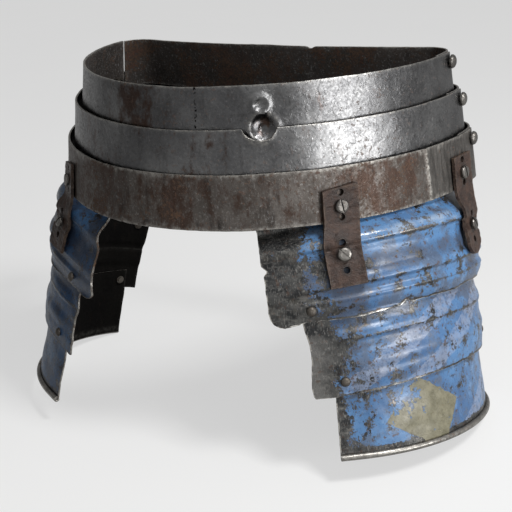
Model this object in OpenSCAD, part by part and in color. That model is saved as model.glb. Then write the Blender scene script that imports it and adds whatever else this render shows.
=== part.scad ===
// Hip defence of three hoop lames with a strapped tasset of three plates on each side.
// The origin is the centre of the waist opening, level with the top rim. +Y is the back.

/* [Hoop plan] */
// Reach of the top rim in front of the waist centre
waist_front = 114; // [110:1:120]
// Plan radius of the top rim across the belly
belly_r = 139; // [130:1:148]
// Plan radius of the top rim along the hips
hip_r = 230; // [220:1:240]
// Plan radius of the top rim at the rear corners
rear_r = 27; // [24:1:34]
// Turn of the plan where the belly radius ends, in degrees from the front
belly_turn = 28.4; // [24:0.2:32]
// Turn of the plan where the hip radius ends
hip_turn = 87; // [85:1:90]
// Turn past square at which the rear corner meets the hollow of the back
back_turn = 10; // [8:1:12]
// How much further out each lower lame reaches at the front
step_front = 8.6; // [8.2:0.1:9.4]
// Growth of the belly radius from lame to lame
step_belly = 15.5; // [14:0.5:17]
// Growth of the hip radius from lame to lame
step_hip = 7; // [6:0.5:9]
// Growth of the rear corner radius from lame to lame
step_rear = 9; // [8:0.5:11]

/* [Lames] */
// Thickness of all plates
sheet = 2; // [1.5:0.1:2.2]
// Height of the top lame that shows above the middle one
top_show = 35; // [30:1:40]
// Height of the middle lame that shows above the bottom one
middle_show = 37; // [32:1:42]
// Height of the bottom lame
bottom_h = 48; // [44:1:56]
// Height that each lame runs down behind the next
lame_lap = 15; // [13:1:18]
// Outward flare of the lames, in mm per mm of height
flare = 0.12; // [0.1:0.01:0.13]
// Turn where the front plates end on the right side
front_end = 96; // [94:1:100]
// Turn where the back plates start on the right side
back_start = 81.6; // [78:0.4:84]
// Turn where the front plates end at the open left side
left_end = 112; // [104:1:116]
// Turn where the back plates end at the open left side
left_back_end = 118; // [116:1:124]
// Clearance between pieces that lie on each other
seat = 0.3; // [0.2:0.05:0.4]

/* [Lame bolts] */
// Diameter of the bolt heads at the sides
bolt_head_d = 13; // [11:0.5:15]
// Height of the bolt heads
bolt_head_h = 4.5; // [3.5:0.5:6]
// Diameter of the bolt shanks
bolt_d = 6; // [5:0.5:7]
// Distance of each bolt below the rim of its lame
bolt_drop = 9; // [8.5:0.5:10]
// Width of the square nuts
nut_w = 10; // [9:0.5:11]
// Thickness of the square nuts
nut_h = 3.5; // [3:0.5:4.5]
// Length of shank that stands out of each nut
tail = 1.5; // [1:0.5:3]

/* [Tasset plan] */
// Turn of the hoop plan at which a tasset is placed
tasset_turn = 20.7; // [19:0.1:22]
// Distance of the tasset's reference line inside the bottom lame's rim
tasset_inset = 22.4; // [21:0.2:24]
// Height of the reference line above the bottom lame's lower edge
tasset_rise = 20.5; // [19.5:0.5:21.5]
// Lean of the tasset outwards, in degrees
lean_out = 14.7; // [13:0.1:16]
// Lean of the tasset forwards, in degrees
lean_forward = 11.1; // [10:0.1:12]
// Heading of the tasset's front face from the side-to-side line
front_heading = 26.4; // [24:0.2:28]
// Plan radius of the front face
face_r = 550; // [500:10:600]
// Length of the front face along the plan
face_run = 80; // [75:1:85]
// Plan radius of the outer side
side_r = 152; // [146:1:158]

/* [Tasset plates] */
// Depth of the upper plate's top edge below the reference line
upper_top = 27; // [26:0.5:29]
// Depth of the upper plate's lower edge
upper_low = 120; // [117:1:124]
// Height of the middle plate that shows below the upper one
plate_show = 68; // [62:1:72]
// Height of the lower plate that shows below the middle one
lower_show = 60; // [56:1:66]
// Height that each plate runs up behind the one above
plate_lap = 23; // [21:1:25]
// Where the upper plate's front edge lies along the plan
upper_start = 12; // [8:1:16]
// How far the middle plate's front edge is set back from the upper one's
middle_back = 27; // [24:1:30]
// How far the lower plate's front edge is set back from the middle one's
lower_back = 19; // [16:1:21]
// Where the upper plate's rear edge lies along the plan
upper_end = 322; // [316:1:328]
// How far the middle plate reaches past the upper one's rear edge
middle_past = 6; // [3:1:8]
// How far the lower plate stops short of the middle one's rear edge
lower_short = 17; // [12:1:20]
// Depth below the top edge at which the upper plate's upper ridge starts to rise
ridge_start = 7; // [6:0.5:9]
// Height over which the upper ridge rises to its crest
ridge_rise = 22; // [20:0.5:24]
// Height of the hollow under each ridge
hollow_h = 10; // [8:0.5:12]
// Distance between the upper plate's two ridge crests
ridge_pitch = 35; // [33:0.5:37]
// Depth of the small crease below the lower ridge's hollow
crease_h = 7; // [6:0.5:8]
// How far the upper plate's top edge stands out from the tasset plan
lip_out = 2; // [1:0.25:2.5]
// How far the upper ridge stands out from the tasset plan
ridge_out = 15; // [14:0.25:16]
// Depth of the hollows under the ridges
hollow_in = 4; // [3:0.25:5]
// How far the lower edge of the upper plate stands out
upper_out = 5.5; // [5:0.25:6]
// Height of the soft ridges of the middle plate
middle_ridge = 2.6; // [1.5:0.1:3]
// Distance by which each plate lies inside the lower edge of the one above
plate_step = 4.2; // [4.1:0.1:4.8]
// Radius of the rounded lower front corner of the upper plate
corner_cut = 15; // [12:1:18]
// Turn of the lower plate against the middle one, in degrees
lower_hang = 8.2; // [7:0.2:9]
// Diameter of the rolled lower rim
rim_d = 6; // [5.5:0.5:6.5]
// Diameter of the wire inside the rolled rim
wire_d = 2.6; // [2:0.2:3]
// How far the rolled rim stands inside the wall
rim_in = 0.5; // [0.4:0.1:1]

/* [Rivets] */
// Diameter of the rivet heads
rivet_head_d = 9; // [8:0.5:10]
// Diameter of the rivet shanks
rivet_d = 4.5; // [4:0.5:5]
// Play of the rivets in the plate that turns on them
rivet_play = 1.2; // [1:0.1:1.5]
// Distance of the rivets above the covering plate's lower edge
rivet_up = 12; // [11.5:0.5:13]
// Distance of the rivets from the inner plate's front and rear edges
rivet_in = 9; // [8:0.5:10]
// Length of the rivets' tails behind the inner plate
rivet_tail = 2.4; // [2.2:0.1:3]
// Thickness of the set end of a tail, and how far it spreads
rivet_set = 0.8; // [0.6:0.1:1]
// Thickness of the burrs
burr_t = 1; // [0.8:0.1:1.2]

/* [Straps] */
// Width of the leather straps
strap_w = 33; // [30:1:36]
// Thickness of the leather
strap_t = 3.5; // [3:0.25:4]
// Gap under the strap where it bends over the upper ridge
strap_lift = 0.9; // [0.8:0.1:1.5]
// Radius of the side straps' rounded lower ends
tongue_r = 18; // [17.5:0.5:22]
// Turn of the hoop plan at the front strap
front_strap_turn = 45; // [43:0.5:47]
// Turn of the hoop plan at the side strap
side_strap_turn = 79.6; // [78:0.2:80]
// Where the front strap lies along the tasset's plan
front_strap_run = 83; // [80:1:88]
// Where the side strap lies along the tasset's plan
side_strap_run = 227; // [222:1:230]
// Distance of the strap's top end below the bottom lame's rim
strap_top = 19; // [17:1:21]
// Distance of the upper screws above the lame's lower edge
screw_up = 14.5; // [13:0.5:16]
// Depth of the lower screws below the tasset's reference line
screw_low = 64; // [63:0.5:67]
// Depth of the straps' lower ends below the reference line
strap_low = 92; // [90:1:95]
// Diameter of the slotted screw heads
screw_head_d = 12; // [11:0.5:13]
// Height of the slotted screw heads
screw_head_h = 3; // [2.5:0.25:3.5]
// Width of the screws' slots
slot_w = 1.5; // [1:0.1:2]
// Depth of the screws' slots
slot_deep = 1.6; // [1:0.1:2]
// Turn of the upper screws' slots
lame_slot_turn = 12; // [0:1:90]
// Turn of the lower screws' slots
plate_slot_turn = 40; // [0:1:90]
// Diameter of the screw shanks
screw_d = 5; // [4:0.5:6]
// Diameter of the spare holes in the straps
strap_hole_d = 6; // [4:0.5:6]
// Distance of the outer spare holes from the screws
strap_hole_step = 14; // [12:1:16]
// Distance of the inner spare holes from the screws
strap_hole_near = 9.5; // [9:0.5:11]

/* [Hidden] */
$fn = 96;
bottom_k = 2;
// Colours of the finishes
worn = "dimgray";
rusty = "#6b5f57";
paint = "steelblue";
bright = "silver";
leather = "#4a3428";
lame_top = [0, -top_show, -top_show - middle_show];
lame_low = [lame_top[1] - lame_lap, lame_top[2] - lame_lap, lame_top[2] - bottom_h];
middle_low = upper_low + plate_show;
lower_low = middle_low + lower_show;
middle_top = upper_low - plate_lap;
lower_top = middle_low - plate_lap;
middle_start = upper_start + middle_back;
lower_start = middle_start + lower_back;
middle_end = upper_end + middle_past;
lower_end = middle_end - lower_short;
middle_out = upper_out - plate_step;
lower_out = middle_out - 2.4 - plate_step / 2;
face_turn = face_run / face_r * 180 / PI;
tasset_z = lame_low[bottom_k] + tasset_rise;
// Step along a pressed profile between the points that draw its ridges
press_step = 3.4;
// Flats that draw the rolled rim
rim_steps = 12;
// How far an arc of sheet runs on into the next, and how much slimmer it is so as to lie in it
arc_lap = 0.6;
slim = 0.05;
$slim = 0;

// Outward direction in plan at a turn from the front
function out_dir(turn) = [sin(turn), -cos(turn)];
// Radii of lame k: belly, hip, rear corner
function lame_r(k) = [belly_r + k * step_belly, hip_r + k * step_hip, rear_r + k * step_rear];
// Arc centres of lame k for the same three arcs
function belly_c(k) = [0, lame_r(k)[0] - waist_front - k * step_front];
function hip_c(k) = belly_c(k) + (lame_r(k)[0] - lame_r(k)[1]) * out_dir(belly_turn);
function rear_c(k) = hip_c(k) + (lame_r(k)[1] - lame_r(k)[2]) * out_dir(hip_turn);
function rear_end(k) = rear_c(k) + lame_r(k)[2] * out_dir(180 + back_turn);
// Radius and centre of the hollow of the back, whose centre lies behind it
function back_r(k) = rear_end(k)[0] / sin(back_turn);
function back_c(k) = rear_end(k) + back_r(k) * out_dir(180 + back_turn);
// Flare of a lame at a height
function lame_out(k, z) = flare * (lame_top[k] - z);
// Point on the outer face of lame k at a turn up to the end of the rear corner, moved out by more
function lame_point(k, turn, more = 0) =
    turn <= belly_turn ? belly_c(k) + (lame_r(k)[0] + more) * out_dir(turn)
    : turn <= hip_turn ? hip_c(k) + (lame_r(k)[1] + more) * out_dir(turn)
    : rear_c(k) + (lame_r(k)[2] + more) * out_dir(turn);

// Arc of a profile drawn at its outward offset. Its ends run on into the arcs beside it where
// lap_from and lap_to say so, with the profile slimmer there so that one sheet comes of them.
module arc(c, r, from, to, lap_from = 0, lap_to = 0) {
    first = from - lap_from * arc_lap / r * 180 / PI;
    last = to + lap_to * arc_lap / r * 180 / PI;
    $slim = max(lap_from, lap_to) * slim;
    translate([c[0], c[1], 0])
        rotate([0, 0, first - 90])
            rotate_extrude(angle = last - first)
                translate([r, 0])
                    children();
}

// Cross-section of a lame's sheet, measured outwards from its plan curve
module lame_section(k, inset) {
    top = lame_top[k] - $slim;
    low = lame_low[k] + $slim;
    polygon([
        [lame_out(k, top) - inset - $slim, top],
        [lame_out(k, low) - inset - $slim, low],
        [lame_out(k, low) - inset - sheet + $slim, low],
        [lame_out(k, top) - inset - sheet + $slim, top]
    ]);
}

// Front plate of a lame, round the belly and both hips
module lame_front(k) {
    arc(belly_c(k), lame_r(k)[0], -belly_turn, belly_turn) lame_section(k, 0);
    arc(hip_c(k), lame_r(k)[1], belly_turn, hip_turn, 1, 1) lame_section(k, 0);
    arc(rear_c(k), lame_r(k)[2], hip_turn, front_end) lame_section(k, 0);
    mirror([1, 0, 0]) {
        arc(hip_c(k), lame_r(k)[1], belly_turn, hip_turn, 1, 1) lame_section(k, 0);
        arc(rear_c(k), lame_r(k)[2], hip_turn, left_end) lame_section(k, 0);
    }
}

// Back plate of a lame, inside the front plate where they lap on the right
module lame_back(k) {
    inset = sheet + seat;
    arc(hip_c(k), lame_r(k)[1], back_start, hip_turn, 0, 1) lame_section(k, inset);
    arc(rear_c(k), lame_r(k)[2], hip_turn, 180 + back_turn) lame_section(k, inset);
    arc(back_c(k), back_r(k), -back_turn, back_turn, 1, 1) mirror([1, 0]) lame_section(k, inset);
    mirror([1, 0, 0])
        arc(rear_c(k), lame_r(k)[2], left_back_end, 180 + back_turn) lame_section(k, inset);
}

// Height of the bolt of lame k
function bolt_z(k) = lame_top[k] - bolt_drop;
// Where the plan of lame k is widest
function side_x(k) = lame_point(k, 90)[0];
function side_y(k) = lame_point(k, 90)[1];
// Half-width of lame k at a height
function side_at(k, z) = side_x(k) + lame_out(k, z);

// Bolt hole of lame k through both sides, wide enough for its shank
module side_bore(k, side) {
    mirror([side < 0 ? 1 : 0, 0, 0])
        translate([side_x(0) / 2, side_y(k), bolt_z(k)])
            rotate([0, 90, 0])
                cylinder(h = side_x(2), d = bolt_d + 2 * seat);
}

// How far a square nut stands off the hollow side of lame k's rear corner
function nut_off(k) = pow(nut_w / 2, 2) / (2 * (lame_r(k)[2] - 3 * sheet));
// Half-width of the inner face of the stack that bolt k clamps, at the nut's upper edge
function stack_in(k, side) = k == 0 ? side_at(0, bolt_z(0) + nut_w / 2) - 2 * sheet - seat - nut_off(0)
    : side_at(k - 1, bolt_z(k) + nut_w / 2) - (side > 0 ? 2 * sheet + seat : sheet) - nut_off(k - 1);

// Round-headed bolt across the side of lame k, with its axis along X
module side_bolt(k, side) {
    face = side_at(k, bolt_z(k) - bolt_head_d / 2) + seat;
    inner = stack_in(k, side) - seat - nut_h - seat - tail;
    mirror([side < 0 ? 1 : 0, 0, 0])
        translate([0, side_y(k), bolt_z(k)]) {
            translate([face, 0, 0])
                rotate([0, 90, 0])
                    rotate_extrude()
                        polygon([
                            [0, 0], [bolt_head_d / 2, 0], [bolt_head_d / 2, bolt_head_h * 0.35],
                            [bolt_head_d * 0.42, bolt_head_h * 0.7],
                            [bolt_head_d * 0.26, bolt_head_h * 0.94],
                            [0, bolt_head_h]
                        ]);
            translate([inner, 0, 0])
                rotate([0, 90, 0])
                    cylinder(h = face - inner + 0.5, d = bolt_d);
        }
}

// Square nut on the inner end of bolt k
module side_nut(k, side) {
    mirror([side < 0 ? 1 : 0, 0, 0])
        translate([stack_in(k, side) - seat - nut_h, side_y(k), bolt_z(k)])
            rotate([0, 90, 0])
                difference() {
                    translate([-nut_w / 2, -nut_w / 2, 0])
                        cube([nut_w, nut_w, nut_h]);
                    translate([0, 0, -1])
                        cylinder(h = nut_h + 2, d = bolt_d + 2 * seat);
                }
}

// Spacing washer between lame k and the lame above, on the pivot bolt
module side_washer(k, side) {
    x0 = side_at(k - 1, bolt_z(k)) + seat + flare * nut_w / 2;
    x1 = side_at(k, bolt_z(k)) - (side > 0 ? 2 * sheet + seat : sheet) - seat - flare * nut_w / 2;
    mirror([side < 0 ? 1 : 0, 0, 0])
        translate([x0, side_y(k), bolt_z(k)])
            rotate([0, 90, 0])
                difference() {
                    cylinder(h = x1 - x0, d = nut_w);
                    translate([0, 0, -1])
                        cylinder(h = x1 - x0 + 2, d = bolt_d + 2 * seat);
                }
}

// A lame plate with the bores of its own bolt and of the next lame's
module bored(k) {
    difference() {
        children();
        for (j = [k : min(k + 1, 2)])
            for (side = [1, -1])
                if (j > 0 || side > 0)
                    side_bore(j, side);
    }
}

// Screw hole of a strap through the bottom lame
module strap_bore(turn) {
    z = lame_low[bottom_k] + screw_up;
    at_lame(turn, z)
        translate([-4 * sheet, 0, 0])
            rotate([0, 90, 0])
                cylinder(h = 8 * sheet, d = screw_d + 2 * seat);
}

module bottom_front() {
    difference() {
        bored(bottom_k) lame_front(bottom_k);
        both_sides() {
            strap_bore(front_strap_turn);
            strap_bore(side_strap_turn);
        }
    }
}

module both_sides() {
    children();
    mirror([1, 0, 0]) children();
}

// Frame on the outer face of the bottom lame: X outwards and square to the flared wall, Z up along it
module at_lame(turn, z) {
    p = lame_point(bottom_k, turn, lame_out(bottom_k, z));
    translate([p[0], p[1], z])
        rotate([0, 0, turn - 90])
            rotate([0, -atan(flare), 0])
                children();
}

// Frame of the right tasset: Z up along its leaning axis, Y to the rear
module tasset_frame() {
    p = lame_point(bottom_k, tasset_turn, -tasset_inset);
    translate([p[0], p[1], tasset_z])
        rotate([-lean_forward, -lean_out, 0])
            children();
}

// Arc centres of the tasset plan, which starts at the frame's origin
face_c = -face_r * out_dir(front_heading);
side_c = face_c + (face_r - side_r) * out_dir(front_heading + face_turn);
// Turn of the tasset plan after a run along it
function run_turn(run) = run <= face_run ? front_heading + run / face_r * 180 / PI
    : front_heading + face_turn + (run - face_run) / side_r * 180 / PI;
// Point of the tasset plan after a run along it, moved out by more
function run_point(run, more = 0) = run <= face_run ? face_c + (face_r + more) * out_dir(run_turn(run))
    : side_c + (side_r + more) * out_dir(run_turn(run));

// Frame on a tasset plate: X outwards, Z up, at a run and a depth, moved out by more
module at_plate(run, depth, more) {
    p = run_point(run, more);
    translate([p[0], p[1], -depth])
        rotate([0, 0, run_turn(run) - 90])
            children();
}

// Crests of the upper plate's ridges
upper_crest = upper_top + ridge_start + ridge_rise;
lower_crest = upper_crest + ridge_pitch;
// Depth and outward offset of the outer face at each turn of a pressed plate
upper_press = [
    [upper_top, lip_out], [upper_top + ridge_start, lip_out], [upper_crest, ridge_out],
    [upper_crest + hollow_h, ridge_out - hollow_in], [lower_crest, ridge_out - 0.5],
    [lower_crest + hollow_h * 0.8, ridge_out - hollow_in],
    [lower_crest + hollow_h * 0.8 + crease_h, ridge_out - hollow_in + 1.2], [upper_low, upper_out]
];
middle_press = [
    [middle_top, middle_out + 2], [upper_low, middle_out], [upper_low + 7, middle_out + 0.2],
    [upper_low + 18, middle_out + middle_ridge], [upper_low + 28, middle_out + 0.8],
    [upper_low + 40, middle_out + middle_ridge * 0.8], [upper_low + 52, middle_out + 0.4],
    [middle_low, middle_out - 2.4]
];
lower_press = [[lower_top, lower_out - 1.4], [middle_low, lower_out], [lower_low, lower_out + 4.4]];
// Offset at a depth, eased from turn to turn as sheet bends
function pressed(turns, d, i = 0) = i >= len(turns) - 2 || d < turns[i + 1][0]
    ? turns[i][1] + (turns[i + 1][1] - turns[i][1])
        * (1 - cos(180 * max(0, min(1, (d - turns[i][0]) / (turns[i + 1][0] - turns[i][0]))))) / 2
    : pressed(turns, d, i + 1);
function upper_face(d) = pressed(upper_press, d);
function middle_face(d) = pressed(middle_press, d);
function lower_face(d) = pressed(lower_press, d);
function plate_face(kind, d) = kind == 0 ? upper_face(d) : kind == 1 ? middle_face(d) : lower_face(d);

// Cross-section of a tasset plate between two depths
module plate_section(kind, top, low) {
    n = ceil((low - top) / press_step);
    depths = [for (i = [0 : n]) top + $slim + (low - top - 2 * $slim) * i / n];
    outer = [for (d = depths) [plate_face(kind, d) - $slim, -d]];
    inner = [for (i = [n : -1 : 0]) [plate_face(kind, depths[i]) - sheet + $slim, -depths[i]]];
    polygon(concat(outer, inner));
}

// A profile swept along the tasset plan between two runs
module sweep(from, to) {
    arc(face_c, face_r, run_turn(from), run_turn(face_run)) children();
    arc(side_c, side_r, run_turn(face_run), run_turn(to), 1, 0) children();
}

// Square cutter that leaves a rounded corner at a run and a depth on the front edge
module corner_cutter(run, depth, r) {
    at_plate(run, depth, 0)
        rotate([0, 90, 0])
            translate([0, 0, -20])
                linear_extrude(60)
                    difference() {
                        translate([-r, -1]) square([r + 10, r + 1]);
                        translate([-r, r]) circle(r = r);
                    }
}

// Bore for a rivet or screw through a plate
module plate_bore(run, depth, d) {
    at_plate(run, depth, -30)
        rotate([0, 90, 0])
            cylinder(h = 60, d = d);
}

// Depth of the rivets that join the middle plate to the upper one, and the lower to the middle
upper_rivet_z = upper_low - rivet_up;
lower_rivet_z = middle_low - rivet_up;
upper_rivet_runs = [middle_start + rivet_in, middle_end - middle_past - rivet_in];
lower_rivet_runs = [lower_start + rivet_in, lower_end - rivet_in];

module upper_plate() {
    difference() {
        sweep(upper_start, upper_end) plate_section(0, upper_top, upper_low);
        corner_cutter(upper_start, upper_low, corner_cut);
        for (run = upper_rivet_runs) plate_bore(run, upper_rivet_z, rivet_d + 2 * seat);
        for (run = [front_strap_run, side_strap_run]) plate_bore(run, screw_low, screw_d + 2 * seat);
    }
}

module middle_plate() {
    difference() {
        sweep(middle_start, middle_end) plate_section(1, middle_top, middle_low);
        corner_cutter(middle_start, middle_low, corner_cut / 4);
        for (run = upper_rivet_runs) plate_bore(run, upper_rivet_z, rivet_d + 2 * rivet_play);
        for (run = lower_rivet_runs) plate_bore(run, lower_rivet_z, rivet_d + 2 * seat);
    }
}

// Turns its children about the line through the rivets of the lower plate
module hang() {
    a = run_point(lower_rivet_runs[0], lower_out);
    b = run_point(lower_rivet_runs[1], lower_out);
    translate([a[0], a[1], -lower_rivet_z])
        rotate(a = lower_hang, v = [b[0] - a[0], b[1] - a[1], 0])
            translate([-a[0], -a[1], lower_rivet_z])
                children();
}

// Centre of the rolled rim in the lower plate's section, a little inside the wall's inner face
rim_at = [lower_face(lower_low) + rim_d / 2 - sheet - rim_in, rim_d / 2 - lower_low];

// Points round a circle in the lower plate's section, clockwise between two directions
function rim_points(d, from, to) = [
    for (i = [0 : rim_steps])
        let (a = from + (to - from) * i / rim_steps)
            rim_at + d / 2 * [cos(a), sin(a)]
];

// Cross-section of the lower plate, whose sheet is rolled outwards round the rim wire
module rolled_section() {
    top = lower_top + $slim;
    n = ceil((lower_low - rim_d / 2 - top) / press_step);
    depths = [for (i = [0 : n]) top + (lower_low - rim_d / 2 - top) * i / n];
    polygon(concat(
        [for (i = [0 : n - 1]) [lower_face(depths[i]) - $slim, -depths[i]]],
        rim_points(rim_d - 2 * $slim, 110, -190),
        [for (i = [n - 1 : -1 : 0]) [lower_face(depths[i]) - sheet + $slim, -depths[i]]]
    ));
}

module lower_plate() {
    hang()
        difference() {
            sweep(lower_start, lower_end) rolled_section();
            sweep(lower_start - 1, lower_end + 1)
                polygon(rim_points(wire_d + 2 * seat - 2 * $slim, 0, 360 - 360 / (rim_steps + 1)));
            for (run = lower_rivet_runs) plate_bore(run, lower_rivet_z, rivet_d + 2 * rivet_play);
        }
}

module rim_wire() {
    hang()
        sweep(lower_start + 1, lower_end - 1)
            translate(rim_at) circle(d = wire_d - 2 * $slim);
}

// Rivet through two plates: domed head outside, shank, and a spread tail behind its burr
module rivet(run, depth, outer, inner) {
    at_plate(run, depth, 0)
        rotate([0, 90, 0]) {
            translate([0, 0, outer + seat])
                rotate_extrude()
                    polygon([
                        [0, 0], [rivet_head_d / 2, 0], [rivet_head_d * 0.4, rivet_head_d * 0.18],
                        [rivet_head_d * 0.22, rivet_head_d * 0.28], [0, rivet_head_d * 0.31]
                    ]);
            translate([0, 0, inner - rivet_tail])
                cylinder(h = outer + seat - inner + rivet_tail + 0.5, d = rivet_d);
            translate([0, 0, inner - rivet_tail])
                cylinder(h = rivet_set, d = rivet_d + 2 * rivet_set);
        }
}

// Burr: the washer under a rivet's tail
module burr(run, depth, inner) {
    at_plate(run, depth, 0)
        rotate([0, 90, 0])
            translate([0, 0, inner - seat - burr_t])
                difference() {
                    cylinder(h = burr_t, d = rivet_head_d);
                    translate([0, 0, -1])
                        cylinder(h = burr_t + 2, d = rivet_d + 2 * seat);
                }
}

module upper_rivets() {
    for (run = upper_rivet_runs)
        rivet(run, upper_rivet_z, upper_face(upper_rivet_z) + seat,
            middle_face(upper_rivet_z) - sheet - 2 * seat);
}

module upper_burrs() {
    for (run = upper_rivet_runs)
        burr(run, upper_rivet_z, middle_face(upper_rivet_z) - sheet - 2 * seat);
}

module lower_rivets() {
    for (run = lower_rivet_runs)
        rivet(run, lower_rivet_z, middle_face(lower_rivet_z) + seat,
            lower_face(lower_rivet_z) - sheet - 3 * seat);
}

module lower_burrs() {
    for (run = lower_rivet_runs)
        burr(run, lower_rivet_z, lower_face(lower_rivet_z) - sheet - 3 * seat);
}

// Turn of a tongue's round end to each side, in a number of steps
tongue_turn = asin(strap_w / 2 / tongue_r);
tongue_steps = 8;
function tongue_point(length, a) = [length - tongue_r + tongue_r * cos(a), tongue_r * sin(a)];

// Flat stretch of leather hanging from z = 0, with a rounded end when it is a tongue
module flat_leather(length, tongue) {
    rotate([0, 90, 0])
        linear_extrude(strap_t)
            if (tongue)
                polygon(concat(
                    [[0, -strap_w / 2]],
                    [for (i = [-tongue_steps : tongue_steps])
                        tongue_point(length, tongue_turn * i / tongue_steps)],
                    [[0, strap_w / 2]]
                ));
            else
                translate([0, -strap_w / 2])
                    square([length, strap_w]);
}

// Thin slab at the end of a flat stretch, where the bent stretch joins it
module leather_end(from) {
    translate([slim, slim - strap_w / 2, from])
        cube([strap_t - 2 * slim, strap_w - 2 * slim, 0.5]);
}

// Outward offset of the strap's inner face on its two crests, and its slope between them
strap_crest = upper_face(upper_crest) + strap_lift;
strap_second = upper_face(lower_crest) + seat;
strap_slope = atan((strap_second - strap_crest) / ridge_pitch);
// Frame at the top of the strap's stretch on the plate
module strap_on_plate(run) {
    tasset_frame()
        at_plate(run, upper_crest, strap_crest)
            rotate([0, -strap_slope, 0])
                children();
}

// Leather strap from the bottom lame to the upper plate, flat on both and bent between them
module strap(turn, run, tongue) {
    edge_z = lame_low[bottom_k] + 1;
    difference() {
        union() {
            at_lame(turn, edge_z)
                translate([seat, 0, lame_top[bottom_k] - strap_top - edge_z])
                    flat_leather(lame_top[bottom_k] - strap_top - edge_z, false);
            hull() {
                at_lame(turn, edge_z) translate([seat, 0, 0]) leather_end(0);
                strap_on_plate(run) leather_end(-0.5);
            }
            strap_on_plate(run) flat_leather(strap_low - upper_crest, tongue);
        }
        for (dz = [0, strap_hole_step, -strap_hole_near])
            at_lame(turn, lame_low[bottom_k] + screw_up + dz)
                translate([-10, 0, 0])
                    rotate([0, 90, 0])
                        cylinder(h = 20, d = dz == 0 ? screw_d + 2 * seat : strap_hole_d);
        for (dz = [0, strap_hole_step, -strap_hole_near])
            tasset_frame() plate_bore(run, screw_low + dz, dz == 0 ? screw_d + 2 * seat : strap_hole_d);
    }
}

// Slotted screw along X: flat head outwards from x = 0, shank of a length inwards
module slotted_screw(length, slot_turn) {
    rotate([0, 90, 0]) {
        difference() {
            rotate_extrude()
                polygon([
                    [0, 0], [screw_head_d / 2, 0], [screw_head_d / 2, screw_head_h * 0.55],
                    [screw_head_d * 0.45, screw_head_h * 0.85], [screw_head_d * 0.33, screw_head_h],
                    [0, screw_head_h]
                ]);
            rotate([0, 0, slot_turn])
                translate([-screw_head_d, -slot_w / 2, screw_head_h - slot_deep])
                    cube([2 * screw_head_d, slot_w, screw_head_h]);
        }
        translate([0, 0, -length])
            cylinder(h = length + 0.5, d = screw_d);
    }
}

// Square nut along X, with its outer face at x = 0
module square_nut() {
    rotate([0, 90, 0])
        difference() {
            translate([-nut_w / 2, -nut_w / 2, -nut_h])
                cube([nut_w, nut_w, nut_h]);
            translate([0, 0, -nut_h - 1])
                cylinder(h = nut_h + 2, d = screw_d + 2 * seat);
        }
}

module lame_screws() {
    for (turn = [front_strap_turn, side_strap_turn])
        at_lame(turn, lame_low[bottom_k] + screw_up)
            translate([strap_t + 2 * seat, 0, 0])
                slotted_screw(strap_t + sheet + nut_h + tail + 4 * seat, lame_slot_turn);
}

module lame_nuts() {
    for (turn = [front_strap_turn, side_strap_turn])
        at_lame(turn, lame_low[bottom_k] + screw_up)
            translate([-sheet - seat, 0, 0])
                square_nut();
}

// Outward offset of the strap's outer face at the lower screws
function strap_face(d) = let (a = strap_crest, b = strap_second)
    a + (b - a) * (d - upper_crest) / ridge_pitch + strap_t + seat;

// Length that the lower screws clamp
plate_grip = strap_face(screw_low) - ridge_out + hollow_in + sheet;

module plate_screws() {
    tasset_frame()
        for (run = [front_strap_run, side_strap_run])
            at_plate(run, screw_low, strap_face(screw_low))
                slotted_screw(plate_grip + nut_h + tail + seat, plate_slot_turn);
}

module plate_nuts() {
    tasset_frame()
        for (run = [front_strap_run, side_strap_run])
            at_plate(run, screw_low, ridge_out - hollow_in - sheet - seat)
                square_nut();
}

module top_lame_front() {
    color(worn) bored(0) lame_front(0);
}

module top_lame_back() {
    color(rusty) bored(0) lame_back(0);
}

module top_side_bolt() {
    color(bright) side_bolt(0, 1);
}

module top_side_nut() {
    color(bright) side_nut(0, 1);
}

module middle_lame_front() {
    color(worn) bored(1) lame_front(1);
}

module middle_lame_back() {
    color(rusty) bored(1) lame_back(1);
}

module middle_pivot_bolts() {
    color(bright) for (side = [1, -1]) side_bolt(1, side);
}

module middle_pivot_washers() {
    color(bright) for (side = [1, -1]) side_washer(1, side);
}

module middle_pivot_nuts() {
    color(bright) for (side = [1, -1]) side_nut(1, side);
}

module bottom_lame_front() {
    color(rusty) bottom_front();
}

module bottom_lame_back() {
    color(rusty) bored(bottom_k) lame_back(bottom_k);
}

module bottom_pivot_bolts() {
    color(bright) for (side = [1, -1]) side_bolt(bottom_k, side);
}

module bottom_pivot_washers() {
    color(bright) for (side = [1, -1]) side_washer(bottom_k, side);
}

module bottom_pivot_nuts() {
    color(bright) for (side = [1, -1]) side_nut(bottom_k, side);
}

module right_front_strap() {
    color(leather) strap(front_strap_turn, front_strap_run, false);
}

module right_side_strap() {
    color(leather) strap(side_strap_turn, side_strap_run, true);
}

module right_lame_screws() {
    color(bright) lame_screws();
}

module right_lame_nuts() {
    color(bright) lame_nuts();
}

module right_plate_screws() {
    color(bright) plate_screws();
}

module right_plate_nuts() {
    color(bright) plate_nuts();
}

module right_upper_plate() {
    color(paint) tasset_frame() upper_plate();
}

module right_middle_plate() {
    color(paint) tasset_frame() middle_plate();
}

module right_lower_plate() {
    color(paint) tasset_frame() lower_plate();
}

module right_rim_wire() {
    color(bright) tasset_frame() rim_wire();
}

module right_upper_rivets() {
    color(bright) tasset_frame() upper_rivets();
}

module right_upper_burrs() {
    color(bright) tasset_frame() upper_burrs();
}

module right_lower_rivets() {
    color(bright) tasset_frame() lower_rivets();
}

module right_lower_burrs() {
    color(bright) tasset_frame() lower_burrs();
}

// The left side is the mirror of the right
module left_front_strap() {
    mirror([1, 0, 0]) right_front_strap();
}

module left_side_strap() {
    mirror([1, 0, 0]) right_side_strap();
}

module left_lame_screws() {
    mirror([1, 0, 0]) right_lame_screws();
}

module left_lame_nuts() {
    mirror([1, 0, 0]) right_lame_nuts();
}

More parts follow.
